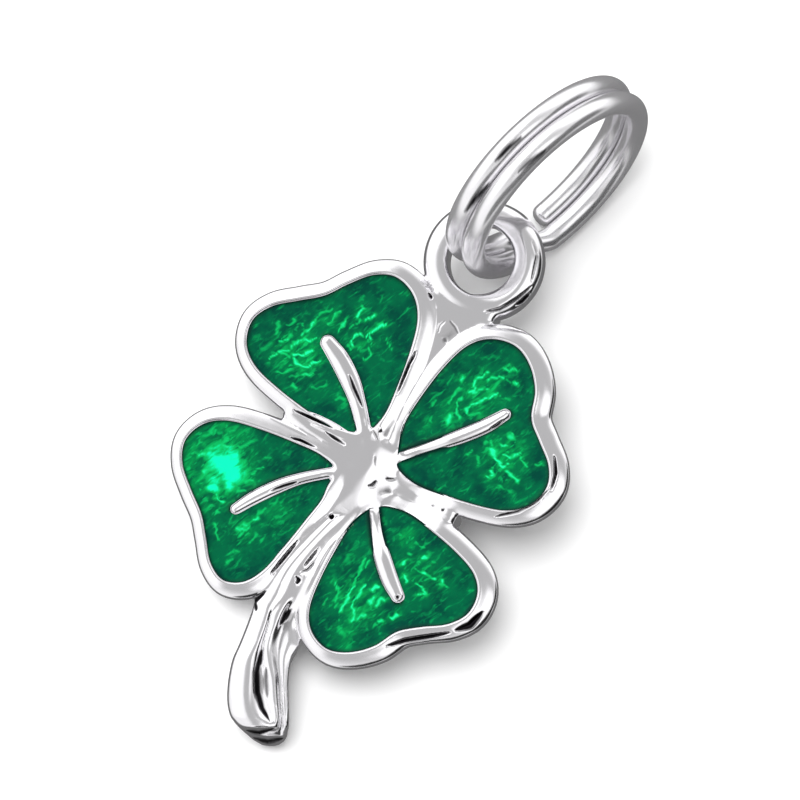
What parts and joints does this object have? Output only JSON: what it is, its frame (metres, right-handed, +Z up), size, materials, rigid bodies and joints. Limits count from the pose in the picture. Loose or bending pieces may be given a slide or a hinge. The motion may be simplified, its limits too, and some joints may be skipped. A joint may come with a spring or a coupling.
{
  "type": "four leaf clover pendant",
  "caption": "Clover charm in cast silver with green enamelled leaves, raised veins, a grooved curving stem, a thick bail loop and a split ring to hang it by.",
  "frame": {"origin": "on the surface that the pendant lies on, under the middle of its bounding box", "axes": "+Z up from the surface that it lies on, +Y from the stem's end towards the split ring, +X to the right of that, seen from above"},
  "size_m": [0.0092, 0.0184, 0.006],
  "materials": {
    "silver": "polished cast silver",
    "green_enamel": "glossy translucent green enamel over a wrinkled bright ground",
    "ring_wire": "polished silver wire"
  },
  "bodies": {
    "root": {"cast_frame": "silver", "enamel_upper_left": "green_enamel", "enamel_right": "green_enamel", "enamel_bottom": "green_enamel", "enamel_left": "green_enamel", "split_ring": "ring_wire"}
  },
  "joints": []
}
